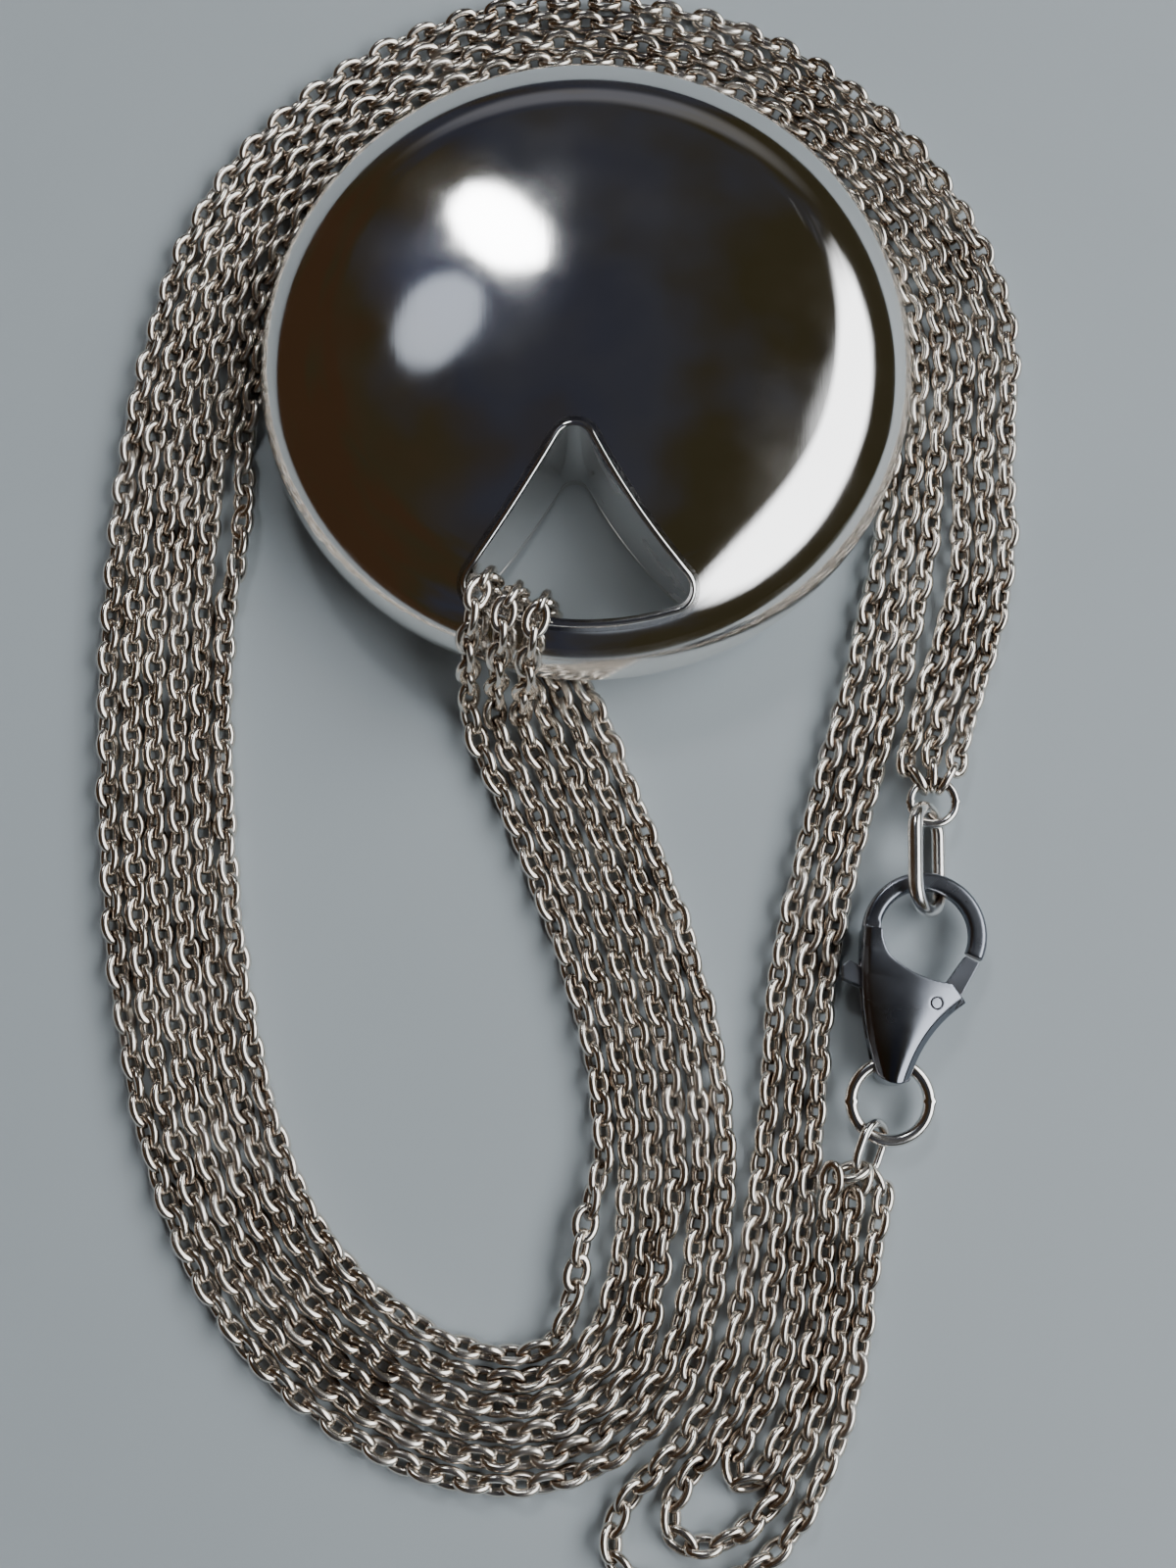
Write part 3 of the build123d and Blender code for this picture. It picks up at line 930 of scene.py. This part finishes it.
def table_material():
    material = bpy.data.materials.new("pale_table")
    material.use_nodes = True
    tree, make = node_maker(material)
    shader = tree.nodes["Principled BSDF"]
    shader.inputs["Roughness"].default_value = 0.6
    place = make("ShaderNodeTexCoord")
    cloud = make("ShaderNodeTexNoise", Scale=60.0, Detail=5.0)
    tree.links.new(place.outputs["Object"], cloud.inputs["Vector"])
    tone = make("ShaderNodeMix", data_type="RGBA")
    tone.inputs["A"].default_value = (0.435, 0.49, 0.52, 1)
    tone.inputs["B"].default_value = (0.47, 0.525, 0.56, 1)
    tree.links.new(cloud.outputs["Fac"], tone.inputs["Factor"])
    tree.links.new(tone.outputs["Result"], shader.inputs["Base Color"])
    return material


def glow_material(name, colour, strength, softness):
    """Light that fades out towards an oval edge, with a slightly uneven tone."""
    material = bpy.data.materials.new(name)
    material.use_nodes = True
    tree, make = node_maker(material)
    tree.nodes.remove(tree.nodes["Principled BSDF"])
    place = make("ShaderNodeTexCoord")
    centred = make("ShaderNodeMapping")
    centred.inputs["Location"].default_value = (-1, -1, 0)
    centred.inputs["Scale"].default_value = (2, 2, 0)
    tree.links.new(place.outputs["Generated"], centred.inputs["Vector"])
    oval = make("ShaderNodeTexGradient", gradient_type="SPHERICAL")
    tree.links.new(centred.outputs["Vector"], oval.inputs["Vector"])
    cloud = make("ShaderNodeTexNoise", Scale=3.0, Detail=3.0)
    tree.links.new(place.outputs["Generated"], cloud.inputs["Vector"])
    uneven = make("ShaderNodeMath", operation="MULTIPLY_ADD")
    uneven.inputs[1].default_value = 0.35
    tree.links.new(cloud.outputs["Fac"], uneven.inputs[0])
    tree.links.new(oval.outputs["Fac"], uneven.inputs[2])
    fade = make("ShaderNodeMapRange", interpolation_type="SMOOTHSTEP")
    fade.inputs["From Min"].default_value = 0.2
    fade.inputs["From Max"].default_value = 0.2 + softness
    fade.inputs["To Max"].default_value = strength
    tree.links.new(uneven.outputs["Value"], fade.inputs["Value"])
    light = make("ShaderNodeEmission")
    light.inputs["Color"].default_value = (*colour, 1)
    tree.links.new(fade.outputs["Result"], light.inputs["Strength"])
    clear = make("ShaderNodeBsdfTransparent")
    both = make("ShaderNodeAddShader")
    tree.links.new(light.outputs["Emission"], both.inputs[0])
    tree.links.new(clear.outputs["BSDF"], both.inputs[1])
    tree.links.new(both.outputs["Shader"], tree.nodes["Material Output"].inputs["Surface"])
    return material


def towards(azimuth, elevation, distance):
    """A place seen from the pendant, azimuth degrees from +Y towards +X, in millimetres."""
    turn = math.radians(azimuth)
    rise = math.radians(elevation)
    level = Vector((math.sin(turn), math.cos(turn), 0)) * math.cos(rise)
    return (level + Vector((0, 0, math.sin(rise)))) * distance


def level_sheet(name, half_width, half_height, z):
    """A flat rectangle round the origin, in metres."""
    corners = [(-half_width, -half_height, z), (half_width, -half_height, z),
               (half_width, half_height, z), (-half_width, half_height, z)]
    return mesh_object(name, corners, [(0, 1, 2, 3)], smooth=False)


def add_card(name, azimuth, elevation, width, height, turn, colour, strength, softness):
    """A glowing card, width and height degrees wide from the pendant, that shows in the silver."""
    half_width = CARD_DISTANCE * math.tan(math.radians(width / 2)) * MM
    half_height = CARD_DISTANCE * math.tan(math.radians(height / 2)) * MM
    card = level_sheet(name, half_width, half_height, 0)
    place = towards(azimuth, elevation, CARD_DISTANCE)
    facing = (-place).to_track_quat("Z", "Y").to_matrix().to_4x4()
    lean = Matrix.Rotation(math.radians(turn), 4, "Z")
    card.matrix_world = Matrix.Translation(place * MM) @ facing @ lean
    card.data.materials.append(glow_material(name, colour, strength, softness))


def add_room():
    """The table, a window behind to the left, a bright side to the right and a dim room."""
    table = level_sheet("table", TABLE_HALF_WIDTH, TABLE_HALF_WIDTH, TABLE_HEIGHT * MM)
    table.data.materials.append(table_material())
    add_card("window", -16, 50, 10, 17, -22, (0.96, 0.98, 1.0), 17.0, 0.25)
    add_card("window_below", -36, 58, 16, 12, -25, (0.80, 0.88, 1.0), 0.75, 0.3)
    add_card("window_glow", -24, 54, 30, 30, -20, (0.35, 0.45, 1.0), 0.05, 0.8)
    add_card("right_side", 94, 43, 92, 46, 8, (0.96, 0.98, 1.0), 4.9, 0.35)
    add_card("far_side", 5, 20, 70, 22, 0, (0.95, 0.95, 1.0), 0.11, 0.6)
    add_card("near_side", 165, 36, 40, 12, 0, (0.75, 0.85, 1.0), 0.35, 0.5)
    world = bpy.data.worlds.new("room")
    bpy.context.scene.world = world
    world.use_nodes = True
    tree = world.node_tree
    back = tree.nodes["Background"]
    place = tree.nodes.new("ShaderNodeTexCoord")
    cloud = tree.nodes.new("ShaderNodeTexNoise")
    cloud.inputs["Scale"].default_value = 2.5
    cloud.inputs["Detail"].default_value = 3.0
    tree.links.new(place.outputs["Generated"], cloud.inputs["Vector"])
    across = tree.nodes.new("ShaderNodeSeparateXYZ")
    tree.links.new(place.outputs["Generated"], across.inputs["Vector"])
    share = tree.nodes.new("ShaderNodeMath")
    share.operation = "MULTIPLY_ADD"
    share.inputs[1].default_value = 0.55
    tree.links.new(across.outputs["X"], share.inputs[0])
    tree.links.new(cloud.outputs["Fac"], share.inputs[2])
    ramp = tree.nodes.new("ShaderNodeValToRGB")
    tones = ramp.color_ramp.elements
    tones[0].position = 0.1
    tones[0].color = (0.045, 0.024, 0.012, 1)
    tones[1].position = 0.72
    tones[1].color = (0.034, 0.028, 0.014, 1)
    for position, colour in ((0.25, (0.036, 0.028, 0.014)), (0.42, (0.030, 0.032, 0.045)),
                             (0.54, (0.036, 0.037, 0.045))):
        tones.new(position).color = (*colour, 1)
    tree.links.new(share.outputs["Value"], ramp.inputs["Fac"])
    tree.links.new(ramp.outputs["Color"], back.inputs["Color"])
    back.inputs["Strength"].default_value = 1.0


add_camera()
# The brown in the gaps between the chain's links is partly tarnish and partly painted shade.
chain_silver = silver("chain_silver_wire", (0.95, 0.91, 0.85), (0.80, 0.73, 0.64), 0.2,
                      tarnish_and_shade=(0.17, 0.09, 0.035), tarnish_and_shade_reach=0.6)
for number, name in enumerate(("inner", "middle", "outer")):
    add_strand(number, name, chain_silver)
add_end_links(chain_silver)
ring_silver = silver("ring_silver", (0.92, 0.91, 0.89), (0.78, 0.76, 0.73), 0.2,
                     tarnish_and_shade=(0.30, 0.21, 0.13), tarnish_and_shade_reach=0.5)
add_rings(ring_silver)
face_silver = silver("pendant_face_silver", (0.88, 0.87, 0.86), (0.78, 0.77, 0.76), 0.07, scratch=0.3)
back_silver = silver("pendant_back_silver", (0.93, 0.91, 0.88), (0.85, 0.83, 0.80), 0.14, scratch=0.3)
liner_silver = silver("pendant_liner_silver", (0.90, 0.89, 0.88), (0.80, 0.79, 0.78), 0.2, scratch=0.4)
add_pendant(face_silver, back_silver, liner_silver)
# The clasp's silver is painted dark grey-blue: painted shade that stands in for the dark room its faces
# reflect. Its hollows also get tarnish and painted shade.
clasp_painted_shade_silver = silver("clasp_silver_cast_painted_shade", (0.28, 0.30, 0.34), (0.17, 0.18, 0.21), 0.22, scratch=0.8,
                      tarnish_and_shade=(0.16, 0.11, 0.09), tarnish_and_shade_reach=0.5)
body = cast("clasp_body_cast", "clasp_body", 0.06, 12, clasp_painted_shade_silver)
pin = cast("clasp_pin_head", "lever_pivot_pin", 0.03, 1, clasp_painted_shade_silver)
for piece in (body, pin):
    dome_clasp(piece)
cast("clasp_lever_cast", "clasp_lever", 0.05, 4, clasp_painted_shade_silver)
cast("clasp_spring_leaf", "lever_spring", 0.025, 1, ring_silver)
add_room()
